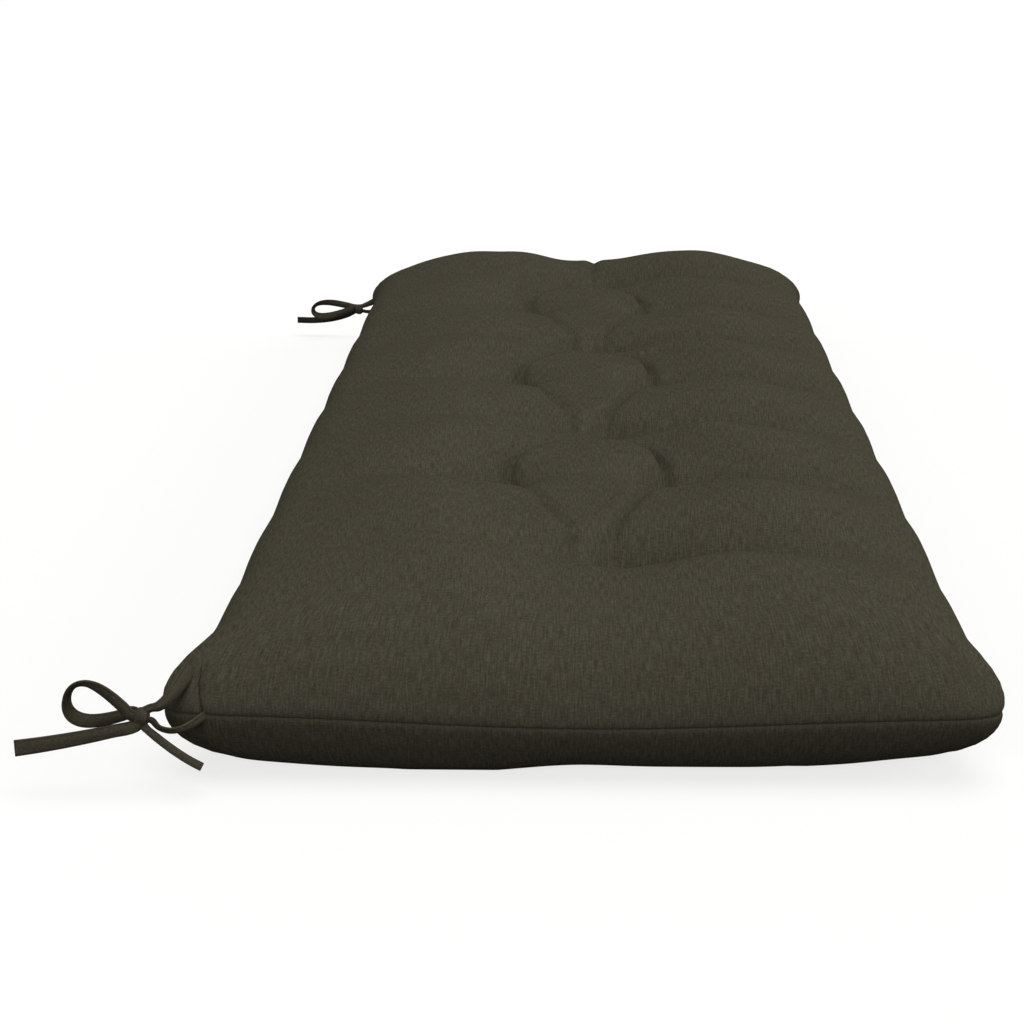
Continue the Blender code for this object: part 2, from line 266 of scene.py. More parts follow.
def zigzag_fold(x, y, t, opening):
    """Depth of the sharp fold along the zigzag, from each gap's own depth at its left and right.

    In an opening gap the left one swells and goes as 4t(1 - t), and the right one stays. In a closing gap
    the left one goes as 1 - t, and the right one grows evenly until the gap is closed.
    """
    gap = np.clip(((y + row_y(ROWS)) / ROW_PITCH).astype(int), 0, ROWS - 2)
    left = np.where(opening, 4.0 * t * (1.0 - t), 1.0 - t)
    right = np.where(opening, 1.0, RIGHT_FOLD_SHARE + RIGHT_FOLD_GROWS * np.minimum(t / CLOSED_BY, 1.0))
    return np.where(x < 0, np.array(FOLD_DEPTH_LEFT)[gap] * left, np.array(FOLD_DEPTH_RIGHT)[gap] * right)


def trough(x, y):
    """Share taken by the trough: full at the zigzag of tufts, smoothly off outside it, crowned inside it.

    A cell's crown rises in from the zigzag as 1 - (1 - share of its reach)^2. Halfway along an opening gap
    it is whole right across, and where a closing gap has come round it is gone.
    """
    half, t, opening, towards_end = zigzag(y)
    within = np.abs(y) < row_y(ROWS)
    further_out = FOLD_OUT * np.sin(math.pi * np.minimum(t / CLOSED_BY, 1.0))
    outside = np.abs(x) - half - np.where(opening, 0.0, further_out)
    inside = np.clip(-outside / np.where(opening, OPENING_REACH, CLOSING_REACH), 0.0, 1.0)
    rise = np.where(opening, 0.0, smooth(t * ROW_PITCH / CROWN_RISE))
    closed = np.where(opening, 0.0, smooth((t - CLOSED_BY) / CLOSED_REACH))
    cell = (OPENING_CROWN + (CLOSING_CROWN - OPENING_CROWN) * rise) * (1.0 - closed)
    edge = np.where(opening, smooth(np.minimum(t, 1.0 - t) * ROW_PITCH / EDGE_RISE), 0.0)
    across = edge + (1.0 - edge) * (1.0 - (1.0 - inside) ** 2)
    crown = 1.0 - np.where(within, cell * across, 0.0)
    depth = TROUGH_DEPTH + (TROUGH_END_DEPTH - TROUGH_DEPTH) * towards_end
    width = TROUGH_WIDTH + (TROUGH_END_WIDTH - TROUGH_WIDTH) * towards_end
    sunk = depth * crown * (1.0 - smooth(np.maximum(outside, 0.0) / width))
    fold = np.where(within, zigzag_fold(x, y, t, opening), 0.0)
    return 1.0 - (1.0 - sunk) * (1.0 - fold * dip(np.abs(outside), FOLD_WIDTH))


def left_standing(x, y):
    """Share of the height left at (x, y): the product of what trough, valleys, folds and tufts leave."""
    tufted = np.zeros_like(x)
    for row in range(1, ROWS + 1):
        depth, spread = (SINGLE_DEPTH, SINGLE_WIDTH) if row % 2 else (DOUBLE_DEPTH, DOUBLE_WIDTH)
        for x0 in tufts_of(row):
            tufted += (depth * dip(np.hypot(x - x0, y - row_y(row)), spread)) ** BLEND_POWER
    tufted = tufted ** (1.0 / BLEND_POWER)
    beside = (1.0 - trough(x, y)) * (1.0 - dug(valleys(), x, y, VALLEY_HOLD))
    return beside * (1.0 - dug(folds(), x, y)) * (1.0 - tufted)


def uneven(x, y):
    """Share of the height that the uneven filling adds: a sum of fixed sine waves."""
    return sum(share * np.sin(in_x * x + in_y * y + start) for in_x, in_y, start, share in UNEVEN)


def plan(u, v):
    """Grid point (u, v) in plan: its place, with superellipse corners, its inset from the rim, the way out.

    Where both sides are near, both distances from the flat middle shrink by the larger of them over their
    p-norm, so that squares become superellipses.
    """
    half_x, half_y = WIDTH / 2, LENGTH / 2
    qx = np.clip((np.abs(u) - half_x + DOME_WIDTH) / DOME_WIDTH, 0.0, 1.0)
    qy = np.clip((np.abs(v) - half_y + DOME_WIDTH) / DOME_WIDTH, 0.0, 1.0)
    level = np.maximum(qx, qy)
    radius = (qx**CORNER_POWER + qy**CORNER_POWER) ** (1.0 / CORNER_POWER)
    squeeze = np.where(radius > 0, level / np.maximum(radius, TINY), 1.0)
    x = np.where(qx > 0, np.sign(u) * (half_x - DOME_WIDTH * (1.0 - qx * squeeze)), u)
    y = np.where(qy > 0, np.sign(v) * (half_y - DOME_WIDTH * (1.0 - qy * squeeze)), v)
    out_x = np.sign(u) * qx ** (CORNER_POWER - 1)
    out_y = np.sign(v) * qy ** (CORNER_POWER - 1)
    size = np.maximum(np.hypot(out_x, out_y), TINY)
    return x, y, DOME_WIDTH * (1.0 - level), out_x / size, out_y / size


def draw_in(x, y):
    """The rim pulled in between the corners, by a smooth step in from them, with its scallops and ears.

    A scallop is a cosine over a row's pitch, and an ear a bell round its corner, exp(-(away / reach)^2).
    """
    half_x, half_y = WIDTH / 2, LENGTH / 2
    scallops = 0.5 + 0.5 * np.cos(2.0 * math.pi * y / ROW_PITCH)
    scallops *= smooth((half_y - SCALLOP_FROM * ROW_PITCH - np.abs(y)) / (SCALLOP_OVER * ROW_PITCH))
    side = smooth((half_y - np.abs(y)) / DRAW_IN_REACH) * (SIDE_DRAW_IN + SCALLOP * scallops)
    end = smooth((half_x - np.abs(x)) / DRAW_IN_REACH) * END_DRAW_IN
    new_x, new_y = x * (1.0 - side / half_x), y * (1.0 - end / half_y)
    for (side_x, side_y), size in EARS.items():
        away = np.hypot(x - side_x * half_x, y - side_y * half_y)
        new_x = new_x + side_x * size * np.exp(-((away / EAR_REACH) ** 2))
    return new_x, new_y


def rolled(inset, out_y, form):
    """Height of the roll from 0 to 1, (1 - left^2)^power, and its swell past the rim.

    Left is the share of its width still to go, and the swell is its most times 2 left sqrt(1 - left^2). Its
    form goes from the long sides' to the ends' with the square of the rim's direction along Y.
    """
    width, swell, power = [side + (end - side) * out_y**2 for side, end in zip(*form)]
    left = 1.0 - np.clip(inset / width, 0.0, 1.0)
    return (1.0 - left**2) ** power, swell * 2.0 * np.sqrt(1.0 - left**2) * left


def domed(x, y):
    """Height of the wide dome: a quarter sine in from each side, multiplied, lower where tufts hold it."""
    in_x = np.clip((WIDTH / 2 - np.abs(x)) / DOME_WIDTH, 0.0, 1.0)
    in_y = np.clip((LENGTH / 2 - np.abs(y)) / np.where(y < 0, DOME_NEAR_END, DOME_FAR_END), 0.0, 1.0)
    held = HELD_NEAR + (HELD_FAR - HELD_NEAR) * (y / LENGTH + 0.5)
    held *= smooth((LENGTH / 2 - np.abs(y) - HELD_FROM) / HELD_REACH)
    return np.sin(in_x * math.pi / 2) * np.sin(in_y * math.pi / 2) * (1.0 - held)


def roll_insets():
    """Insets of the grid lines on the roll: inset = ROLL_WIDTH (1 - cos(arc / mean radius))."""
    mean_radius = ROLL_ARCS[-1] / (math.pi / 2)
    return ROLL_WIDTH * (1.0 - np.cos(ROLL_ARCS / mean_radius))


def column_stations():
    """U of the grid's columns: fine across the tufts, coarser beside them, then the roll's and dart's."""
    insets = roll_insets()
    edge = WIDTH / 2 - insets[-1]
    beside = np.linspace(FINE_HALF_WIDTH, edge, COARSE_COLUMNS + 1)[1:]
    right = np.concatenate([beside, (WIDTH / 2 - insets[:-1])[::-1]])
    middle = np.linspace(-FINE_HALF_WIDTH, FINE_HALF_WIDTH, FINE_COLUMNS + 1)
    beside_dart = np.interp(edge + ROLL_ARCS[-1] - DART_COLUMNS, ROLL_ARCS, insets) - WIDTH / 2
    return np.sort(np.concatenate([-right, beside_dart, middle, right]))


def row_stations():
    """V of the grid's rows: crowded at each row of tufts, then the roll's.

    Over each pitch, a row is at t - a sin(2 pi t) / (2 pi), with a the crowding.
    """
    insets = roll_insets()
    edge = LENGTH / 2 - insets[-1]
    t = np.linspace(-(ROWS + 1) / 2, (ROWS + 1) / 2, (ROWS + 1) * ROWS_PER_PITCH + 1)
    lines = ROW_PITCH * (t - ROW_CROWDING * np.sin(2 * math.pi * t) / (2 * math.pi))
    lines = lines[np.abs(lines) < edge - ROW_CLEAR_OF_ROLL]
    ends = (LENGTH / 2 - insets)[::-1]
    return np.concatenate([-ends[::-1], lines, ends])


def cloth_lengths(stations, half):
    """Length of cloth from the middle to each grid line: flat as far as the roll, then the arc up it."""
    insets = roll_insets()
    inset = half - np.abs(stations)
    arc = np.interp(inset, insets, ROLL_ARCS)
    flat = half - insets[-1] + ROLL_ARCS[-1] - arc
    return np.sign(stations) * np.where(inset < insets[-1], flat, np.abs(stations))


def dart_groove(u, v):
    """How far the dart pulls the cloth in at cloth lengths (u, v): a narrow bell across its bent line."""
    way = (v + LENGTH / 2 - ROLL_WIDTH + ROLL_ARCS[-1]) / DART_LENGTH
    away = u - DART_PLACE - DART_BEND * np.clip(way, 0.0, 1.0) ** 2
    fading = smooth((way - DART_FADE_FROM) / DART_FADE_OVER)
    return DART_DEPTH * np.exp(-((away / DART_SPREAD) ** 2)) * (1.0 - fading)


def cushion_surface():
    """Both faces: seam height plus or minus what is left standing of roll and dome, and the rim pinched in.

    The pinch goes with the height above the seam, as exp(-height / reach).
    """
    us, vs = column_stations(), row_stations()
    u, v = np.meshgrid(us, vs, indexing="ij")
    x, y, inset, out_x, out_y = plan(u, v)
    lengths = cloth_lengths(us, WIDTH / 2), cloth_lengths(vs, LENGTH / 2)
    cloth = np.stack(np.meshgrid(*lengths, indexing="ij"), axis=-1)
    left = left_standing(x, y) * (1.0 + uneven(x, y))
    dome = domed(x, y)
    from_corner = np.hypot(WIDTH / 2 - np.abs(x), LENGTH / 2 - np.abs(y))
    near_corner = np.exp(-((from_corner / CORNER_REACH) ** 2))
    in_middle = np.cos(np.clip(2.0 * x / WIDTH, -1, 1) * math.pi / 2)
    at_end = 1.0 - smooth((LENGTH / 2 - np.abs(y)) / END_SAG_REACH)
    seam = SEAM_HEIGHT - SEAM_SAG * in_middle - END_SAG * in_middle**3 * at_end
    fuller = smooth(np.abs(x) / FULLER_WIDTH) * np.where(x < 0, FULLER_LEFT, FULLER_RIGHT)
    top = 1, TOP_ROLL_FORM, TOP_ROLL, TOP_DOME, TOP_CORNER_LOW, 1.0
    bottom = -1, BOTTOM_ROLL_FORM, BOTTOM_ROLL, BOTTOM_DOME, BOTTOM_CORNER_LOW, 1.0 + fuller * at_end
    faces = []
    for sign, form, roll_height, dome_height, corner_low, fullness in (top, bottom):
        roll, swell = rolled(inset, out_y, form)
        roll = roll_height * roll * (1.0 - corner_low * near_corner) * fullness
        rise = left * (roll + dome_height * dome)
        out = swell - SEAM_PINCH * np.exp(-rise / SEAM_PINCH_REACH)
        if sign > 0:
            out -= dart_groove(cloth[..., 0], cloth[..., 1])
        px, py = draw_in(x + out * out_x, y + out * out_y)
        faces.append(np.stack([px, py, np.maximum(seam + sign * rise, 0.0)], axis=-1))
    centre = (faces[0][..., 0].max() + faces[0][..., 0].min()) / 2
    for face in faces:
        face[..., 0] -= centre
    return faces[0], faces[1], cloth


def closed_grid(name, top, bottom, cloth):
    """One closed mesh of two grids that share their rim, the cloth's lengths in metres in its UV map."""
    columns, rows = top.shape[:2]
    index = np.arange(columns * rows).reshape(columns, rows)
    rim = np.zeros((columns, rows), bool)
    rim[[0, -1], :] = rim[:, [0, -1]] = True
    under = np.where(rim, index, index + columns * rows)
    points = np.concatenate([top.reshape(-1, 3), bottom.reshape(-1, 3)])
    upper = np.stack([index[:-1, :-1], index[1:, :-1], index[1:, 1:], index[:-1, 1:]], axis=-1)
    lower = np.stack([under[:-1, :-1], under[:-1, 1:], under[1:, 1:], under[1:, :-1]], axis=-1)
    faces = np.concatenate([upper.reshape(-1, 4), lower.reshape(-1, 4)])
    used, compact = np.unique(faces, return_inverse=True)
    uv = np.concatenate([cloth.reshape(-1, 2), cloth.reshape(-1, 2)])[faces.reshape(-1)]
    return mesh_of(name, points[used], compact.reshape(-1, 4), uv)


def mesh_of(name, points, quads, uv):
    """A smooth-shaded mesh object of quads, with a UV for each corner."""
    mesh = bpy.data.meshes.new(name)
    mesh.vertices.add(len(points))
    mesh.vertices.foreach_set("co", np.ascontiguousarray(points, dtype=np.float32).ravel())
    mesh.loops.add(quads.size)
    mesh.loops.foreach_set("vertex_index", quads.ravel().astype(np.int32))
    mesh.polygons.add(len(quads))
    mesh.polygons.foreach_set("loop_start", np.arange(0, quads.size, 4, dtype=np.int32))
    mesh.update(calc_edges=True)
    mesh.validate()
    layer = mesh.uv_layers.new(name="cloth")
    layer.data.foreach_set("uv", np.ascontiguousarray(uv, dtype=np.float32).ravel())
    mesh.shade_smooth()
    made = bpy.data.objects.new(name, mesh)
    bpy.context.scene.collection.objects.link(made)
    return made


# Ties: bands of the cover's own cloth. The places and sizes of strands and loops and the places of knots are
# in millimetres, and close to those of the solids.
STRANDS = {
    # name: start, middle and end of its curve, turn at start and end in degrees, share of the width there
    "near upper leg": (
        (-237.4, -584.2, 68.2), (-246.6, -604.5, 58.5), (-255.4, -608.5, 54.8), 15, 5, 0.95, 0.55),
    "near lower leg": (
        (-227.2, -596.6, 43.4), (-243.1, -609.0, 40.5), (-256.5, -609.0, 47.6), 20, 75, 0.70, 0.50),
    "near long end": (
        (-264.6, -612.8, 45.4), (-300.6, -617.0, 38.6), (-338.1, -614.0, 30.8), -20, -25, 0.75, 1.00),
    "near short end": (
        (-259.0, -611.2, 44.2), (-241.6, -614.4, 30.6), (-225.6, -615.0, 20.5), 66, 72, 0.60, 0.66),
    "far upper leg": (
        (-233.0, 593.9, 51.2), (-247.6, 603.0, 42.0), (-259.9, 603.5, 37.0), 0, 0, 0.90, 0.50),
    "far lower leg": (
        (-230.9, 594.4, 39.1), (-245.6, 606.0, 30.0), (-259.4, 604.0, 31.0), 20, 60, 0.70, 0.50),
    "far end": (
        (-266.8, 608.0, 30.4), (-298.6, 612.5, 19.5), (-338.6, 611.0, 18.8), 0, 35, 0.50, 1.00),
}
NEAR_KNOT_PLACE, FAR_KNOT_PLACE = (-261.6, -608.5, 49.5), (-264.1, 603.5, 33.5)
LOOPS = {
    # name: place of its knot, its length and height, its tilt in degrees, side of the strand going out
    "near loop": (NEAR_KNOT_PLACE, 40.0, 25.0, 15.0, 1),
    "far loop": (FAR_KNOT_PLACE, 49.0, 15.0, -3.0, -1),
}
BANDS = (
    # name, its parts in order, length in metres, far end, the solids that it stands for
    ("near_looped_band", ("near upper leg", "near loop", "near short end"), 0.207, "bare",
     ("tie_near_leg_upper", "tie_near_loop", "tie_near_short_end")),
    ("near_straight_band", ("near lower leg", "near long end"), 0.125, "bare",
     ("tie_near_leg_lower", "tie_near_long_end")),
    ("far_looped_band", ("far upper leg", "far loop"), 0.154, "knot",
     ("tie_far_leg_upper", "tie_far_loop")),
    ("far_straight_band", ("far lower leg", "far end"), 0.123, "bare",
     ("tie_far_leg_lower", "tie_far_end")),
)
KNOTS = (
    # name, place, lean in degrees, the solid that it stands for, the band that it is tied in
    ("near_knot", NEAR_KNOT_PLACE, 12.0, "tie_near_knot", "near_looped_band"),
    ("far_knot", FAR_KNOT_PLACE, -8.0, "tie_far_knot", "far_looped_band"),
)

# A loop: how far left of its knot's middle and how far above it the strands come out, how far each of them
# lies to its side, the loop's most turn in degrees, and its share of the width at the knot.
LOOP_LEFT_MM, LOOP_ABOVE_MM, LOOP_APART_MM = 5.5, 1.5, 2.6
LOOP_TURN, LOOP_GATHERED = 75.0, 0.75
STRAND_POINTS, LOOP_POINTS = 6, 19

# A band in metres: its width, its thickness and how far its root runs on past its start. Then the least
# share of its width, the fold in it as a share of half its width, and the step between its sections.
BAND_WIDTH, BAND_THICKNESS, SEWN_IN = 0.010, 0.0015, 0.004
MOST_GATHERED, GATHER_FOLD = 0.45, 0.5
BAND_STEP = 0.0013
# Its section from edge to edge: place across and height, as shares of half the width and half the thickness.
BAND_SECTION = np.array([(-1.0, 0.4), (-0.94, 0.8), (-0.8, 1.0), (-0.4, 1.0), (0.0, 1.0),
                         (0.4, 1.0), (0.8, 1.0), (0.94, 0.8), (1.0, 0.4)])

# A knot: half its length, depth and height in metres, and the powers of its outline. Then how much it grows
# in metres with a wrap, where the wrap's edge lies in degrees and how it slants in radians. Then the crease
# round it: its depth in metres, and its sway and width as shares of half the knot's length.
KNOT_HALF, KNOT_POWER, KNOT_ROUND_POWER = (0.0047, 0.0052, 0.0058), 3.0, 2.2
KNOT_WRAP, KNOT_EDGE, KNOT_EDGE_SLANT = 0.0007, -70.0, 0.5
KNOT_CREASE, KNOT_CREASE_SWAY, KNOT_CREASE_WIDTH = 0.0004, 0.35, 0.12
KNOT_COLUMNS, KNOT_AROUND = 25, 64


def strand_stations(name):
    """Points along a strand, as (x, y, z in mm, turn, width share): the parabola through three points."""
    start, middle, end, turn0, turn1, width0, width1 = STRANDS[name]
    t = np.linspace(0.0, 1.0, STRAND_POINTS)[:, None]
    points = ((1 - t) * (1 - 2 * t) * np.array(start) + 4 * t * (1 - t) * np.array(middle)
              + t * (2 * t - 1) * np.array(end))
    return np.hstack([points, turn0 + (turn1 - turn0) * t, width0 + (width1 - width0) * t])


def loop_stations(name):
    """Points along a loop, in the same form: a tilted drop, l sin(pi t) out by h/2 sin(2 pi t) across."""
    (x, y, z), length, height, tilt, side = LOOPS[name]
    t = np.linspace(0.0, 1.0, LOOP_POINTS)
    out, across = length * np.sin(math.pi * t), height / 2 * np.sin(2 * math.pi * t)
    lean = math.radians(tilt)
    return np.stack([x - LOOP_LEFT_MM - out * math.cos(lean) + across * math.sin(lean),
                     y - side * LOOP_APART_MM * np.cos(math.pi * t),
                     z + LOOP_ABOVE_MM + out * math.sin(lean) + across * math.cos(lean),
                     LOOP_TURN * np.sin(math.pi * t) ** 2,
                     LOOP_GATHERED + (1.0 - LOOP_GATHERED) * np.sin(math.pi * t) ** 2], axis=-1)


def band_route(parts):
    """A band's whole route in metres: its parts joined by a smooth cubic through all their points.

    Gives the points, the turn in radians and the share of the width.
    """
    stations = np.vstack([loop_stations(part) if part in LOOPS else strand_stations(part) for part in parts])
    stations[:, :3] /= 1000
    root = stations[0].copy()
    ahead = stations[1, :3] - stations[0, :3]
    root[:3] -= ahead / np.linalg.norm(ahead) * SEWN_IN
    stations = np.vstack([root, stations])
    steps = np.linalg.norm(np.diff(stations[:, :3], axis=0), axis=1)
    at = np.concatenate([[0.0], np.cumsum(steps)])
    slopes = np.gradient(stations, at, axis=0)
    fine = np.linspace(0.0, at[-1], int(at[-1] / BAND_STEP) + 1)
    i = np.clip(np.searchsorted(at, fine) - 1, 0, len(steps) - 1)
    t = ((fine - at[i]) / steps[i])[:, None]
    span = steps[i][:, None]
    route = ((1 + 2 * t) * (1 - t) ** 2 * stations[i] + t * (1 - t) ** 2 * span * slopes[i]
             + t**2 * (3 - 2 * t) * stations[i + 1] - t**2 * (1 - t) * span * slopes[i + 1])
    return route[:, :3], np.radians(route[:, 3]), np.clip(route[:, 4], MOST_GATHERED, 1.0)


def unit(vectors):
    """Vectors at length one."""
    return vectors / np.linalg.norm(vectors, axis=-1, keepdims=True)


def band_mesh(name, points, turns, widths):
    """A flat band along a route, with rounded edges and square ends.

    Its width is turned about the route from upright. Where it is gathered to a share of its width, the rest
    goes into one soft fold along it: a cosine across it, GATHER_FOLD sqrt(1 - share^2) half widths deep.
    """
    ahead = unit(np.gradient(points, axis=0))
    upright = unit(np.cross(ahead, (0.0, 1.0, 0.0)))
    sideways = np.cross(upright, ahead)
    across = np.cos(turns)[:, None] * upright + np.sin(turns)[:, None] * sideways
    facing = np.cross(ahead, across)
    half = BAND_WIDTH / 2
    place = np.concatenate([BAND_SECTION[:, 0], BAND_SECTION[::-1, 0]])
    height = np.concatenate([BAND_SECTION[:, 1], -BAND_SECTION[::-1, 1]]) * BAND_THICKNESS / 2
    gather = GATHER_FOLD * half * np.sqrt(1.0 - widths**2)
    out = height[None, :] + gather[:, None] * np.cos(math.pi * place)[None, :] / 2
    skin = (points[:, None, :] + (widths * half)[:, None, None] * place[None, :, None] * across[:, None, :]
            + out[:, :, None] * facing[:, None, :])
    rings, around = skin.shape[:2]
    index = np.arange(rings * around).reshape(rings, around)
    turn = np.roll(index, -1, axis=1)
    quads = np.stack([index[:-1], turn[:-1], turn[1:], index[1:]], axis=-1).reshape(-1, 4)
    pair = np.arange(around // 2 - 1)
    cap = np.stack([pair, around - 1 - pair, around - 2 - pair, pair + 1], axis=-1)
    quads = np.concatenate([quads, cap, cap[:, ::-1] + (rings - 1) * around])
    along = np.concatenate([[0.0], np.cumsum(np.linalg.norm(np.diff(points, axis=0), axis=1))])
    cloth = np.stack(np.broadcast_arrays((place * half)[None, :], along[:, None]), axis=-1).reshape(-1, 2)
    return mesh_of(name, skin.reshape(-1, 3), quads, cloth[quads.ravel()])


def knot_mesh(name, place, lean):
    """A knot: a band wrapped round and round, its ends drawn in, as the radius (1 - |s|^p)^(1/q) along it.

    The radius grows by a band's step with each turn, and falls back at the wrap's edge. One crease, a bell
    across, sways round it.
    """
    s = np.sin(np.linspace(-math.pi / 2, math.pi / 2, KNOT_COLUMNS))
    angle = np.linspace(0.0, 2 * math.pi, KNOT_AROUND + 1)[:-1]
    s, angle = np.meshgrid(s, angle, indexing="ij")
    radius = (1.0 - np.abs(s) ** KNOT_POWER) ** (1 / KNOT_ROUND_POWER)
    edge = math.radians(KNOT_EDGE) + KNOT_EDGE_SLANT * s
    wrap = ((angle - edge) / (2 * math.pi)) % 1.0
    swell = KNOT_WRAP * (wrap - 0.5) * radius
    from_crease = (s - KNOT_CREASE_SWAY * np.sin(angle)) / KNOT_CREASE_WIDTH
    crease = KNOT_CREASE * np.exp(-(from_crease**2)) * radius
    x = s * KNOT_HALF[0]
    y = (radius * KNOT_HALF[1] + swell - crease) * np.cos(angle)
    z = (radius * KNOT_HALF[2] + swell - crease) * np.sin(angle)
    turn = math.radians(lean)
    leaning_x, leaning_z = x * math.cos(turn) + z * math.sin(turn), z * math.cos(turn) - x * math.sin(turn)
    points = np.stack([leaning_x, y, leaning_z], axis=-1) + np.array(place) / 1000
    columns, around = s.shape
    index = np.arange(columns * around).reshape(columns, around)
    beside = np.roll(index, -1, axis=1)
    quads = np.stack([index[:-1], index[1:], beside[1:], beside[:-1]], axis=-1).reshape(-1, 4)
    cloth = np.stack([x, angle * KNOT_HALF[2]], axis=-1).reshape(-1, 2)
    return mesh_of(name, points.reshape(-1, 3), quads, cloth[quads.ravel()])


# The canvas on each piece: a yarn, a slub along the warp and one along the weft, in millimetres, and its
# dark, middle and light tones.
COVER_WEAVE = (1.1, 9.0, 3.5), ("#302E24", "#403E33", "#504D40")
BAND_WEAVE = (0.6, 3.0, 2.0), ("#2F2D24", "#3E3B30", "#504C3F")
CLOTH_ROUGHNESS = 0.92
# How the weave mixes: where on the noise its three tones lie, and the weft's share, its mean and its swing.
# Its noise starts at other places for the weft and for the clouds. Its relief is a height in millimetres and
# the weave's part in that, beside the flecks.
TONES_AT = (0.30, 0.5, 0.70)
WEFT_SHARE, WEFT_SWING = 0.42, 0.35
NOISE_DETAIL, NOISE_ROUGHNESS = 2.0, 0.6
WEFT_NOISE_START, CLOUD_NOISE_START = 7.0, 3.0
RELIEF_MM, WEAVE_IN_RELIEF = 0.075, 0.5
# Its soft clouds: their size in millimetres, their share of the tone, the tint of the greyed ones, where on
# the noise these begin and are whole, and the most that they have of the tint.
CLOUD_MM, CLOUD_SHARE, GREYED = (14.0, 18.0), 0.06, "#F9F2F5"
GREYED_FROM, GREYED_WHOLE, GREYED_MOST = 0.42, 0.62, 0.75
# The gathers at the rim's seam: their height, how far apart and how long they are, how far in they reach.
PUCKER_MM, PUCKER_APART_MM, PUCKER_LONG_MM, PUCKER_REACH = 0.9, 7.0, 60.0, 0.026
# Sewn lines: the dart's half width, the share of its length where its end begins, and how deep it is. Then
# the bands' stitches: their inset, half width, length and depth, and the share of it left between two.
DART_HALF_WIDTH, DART_ENDS_FROM, DART_SUNK_MM = 0.0012, 0.85, 0.6
STITCH_INSET, STITCH_HALF_WIDTH, STITCH_LENGTH = 0.0012, 0.0005, 0.002
STITCH_SUNK_MM, BETWEEN_STITCHES = 0.25, 0.4
# The painted shade in the sewn lines' grooves: its dark colour, and its share where a line is whole.
SEWN_PAINTED_SHADE, SEWN_PAINTED_SHADE_SHARE = "#15140E", 0.45
# Half the cover's cloth, over the roll to the seam.
CLOTH_HALF_WIDTH = WIDTH / 2 - ROLL_WIDTH + ROLL_ARCS[-1]
CLOTH_HALF_LENGTH = LENGTH / 2 - ROLL_WIDTH + ROLL_ARCS[-1]


def linear(hex_colour):
    """An sRGB hex colour as linear RGBA."""
    parts = [int(hex_colour[i:i + 2], 16) / 255 for i in (1, 3, 5)]
    return (*[p / 12.92 if p <= 0.04045 else ((p + 0.055) / 1.055) ** 2.4 for p in parts], 1.0)


def add(tree, kind, inputs=None, **settings):
    """Add a node: its settings by name, its inputs by name or number, each a value or a socket to link."""
    node = tree.nodes.new(kind)
    for name, value in settings.items():
        setattr(node, name, value)
    for key, value in (inputs or {}).items():
        if isinstance(value, bpy.types.NodeSocket):
            tree.links.new(value, node.inputs[key])
        else:
            node.inputs[key].default_value = value
    return node


def melange_weave(tree, weave):
    """Melange polyester canvas: a plain weave of yarns spun from darker and lighter fibres, softly clouded.

    The weave and its slubs follow the cloth's own lengths. The eye sees fine flecks along both yarns, longer
    along the warp, and a dry, matt surface. The real yarn is about 0.5 mm, too fine to show, so it is drawn
    coarser. Gives the cloth's lengths, its colour and its height in millimetres.
    """
    (yarn_mm, warp_slub_mm, weft_slub_mm), tones = weave
    lengths = add(tree, "ShaderNodeUVMap", uv_map="cloth").outputs[0]
    flecks = []
    for across, along, start in ((yarn_mm, warp_slub_mm, 0.0),
                                 (weft_slub_mm, yarn_mm, WEFT_NOISE_START),
                                 (*CLOUD_MM, CLOUD_NOISE_START)):
        stretched = add(tree, "ShaderNodeMapping", {"Vector": lengths, "Location": (start, start, 0.0),
                                                    "Scale": (1000 / across, 1000 / along, 1.0)})
        noise = add(tree, "ShaderNodeTexNoise", {"Vector": stretched.outputs[0], "Scale": 1.0,
                                                 "Detail": NOISE_DETAIL, "Roughness": NOISE_ROUGHNESS})
        flecks.append(noise.outputs["Fac"])
    warp_fleck, weft_fleck, cloud = flecks
    split = add(tree, "ShaderNodeSeparateXYZ", {0: lengths})
    waves = []
    for place in split.outputs[:2]:
        phase = add(tree, "ShaderNodeMath", {0: place, 1: math.pi * 1000 / yarn_mm}, operation="MULTIPLY")
        waves.append(add(tree, "ShaderNodeMath", {0: phase.outputs[0]}, operation="SINE").outputs[0])
    over = add(tree, "ShaderNodeMath", {0: waves[0], 1: waves[1]}, operation="MULTIPLY").outputs[0]
    share = add(tree, "ShaderNodeMath", {0: over, 1: WEFT_SWING, 2: WEFT_SHARE}, operation="MULTIPLY_ADD")
    fleck = add(tree, "ShaderNodeMix", {"Factor": share.outputs[0], "A": warp_fleck, "B": weft_fleck},
                data_type="FLOAT").outputs[0]
    shade = add(tree, "ShaderNodeMix", {"Factor": CLOUD_SHARE, "A": fleck, "B": cloud}, data_type="FLOAT")
    ramp = add(tree, "ShaderNodeValToRGB", {"Fac": shade.outputs[0]})
    stops = ramp.color_ramp.elements
    stops.new(TONES_AT[1])
    for stop, place, tone in zip(stops, TONES_AT, tones):
        stop.position = place
        stop.color = linear(tone)
    clouded = add(tree, "ShaderNodeMapRange",
                  {0: cloud, 1: GREYED_FROM, 2: GREYED_WHOLE, 3: 0.0, 4: GREYED_MOST}).outputs[0]
    tint = add(tree, "ShaderNodeMix", {"Factor": clouded, "A": ramp.outputs[0], "B": linear(GREYED)},
               data_type="RGBA", blend_type="MULTIPLY")
    relief = add(tree, "ShaderNodeMath", {0: over, 1: WEAVE_IN_RELIEF, 2: fleck}, operation="MULTIPLY_ADD")
    height = add(tree, "ShaderNodeMath", {0: relief.outputs[0], 1: RELIEF_MM}, operation="MULTIPLY")
    return split.outputs[:2], tint.outputs[2], height.outputs[0]


